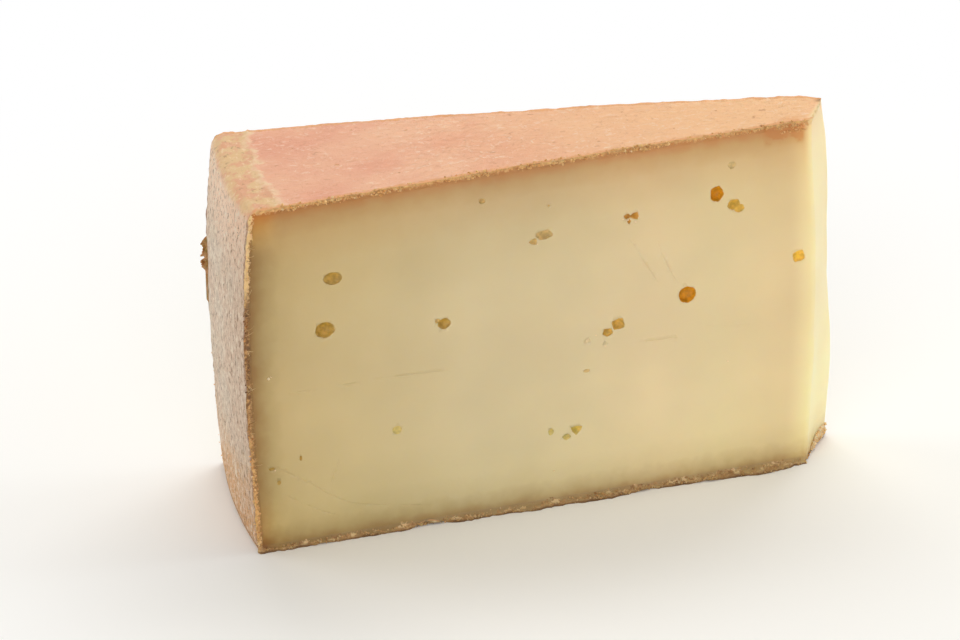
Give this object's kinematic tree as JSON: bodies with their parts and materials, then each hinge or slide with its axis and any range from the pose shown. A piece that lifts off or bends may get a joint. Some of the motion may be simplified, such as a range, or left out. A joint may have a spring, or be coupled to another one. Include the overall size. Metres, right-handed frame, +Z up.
{
  "type": "vacherin fribourgeois cheese wedge",
  "caption": "Tall narrow wedge of semi-hard washed-rind cheese standing on its base, with rind on base, top and heel, bare paste on the long cuts, small eyes and a trimmed tip.",
  "frame": {"origin": "middle of the bounding box at the base the wedge stands on", "axes": "+X along the wedge from its heel to its trimmed nose, +Y from the front cut to the back cut, +Z up"},
  "size_m": [0.1356, 0.047, 0.0807],
  "materials": {
    "cheese": "moist, slightly translucent cream paste with a salmon, grey and brown dry rind"
  },
  "bodies": {
    "root": {"cheese_wedge": "cheese"}
  },
  "joints": []
}
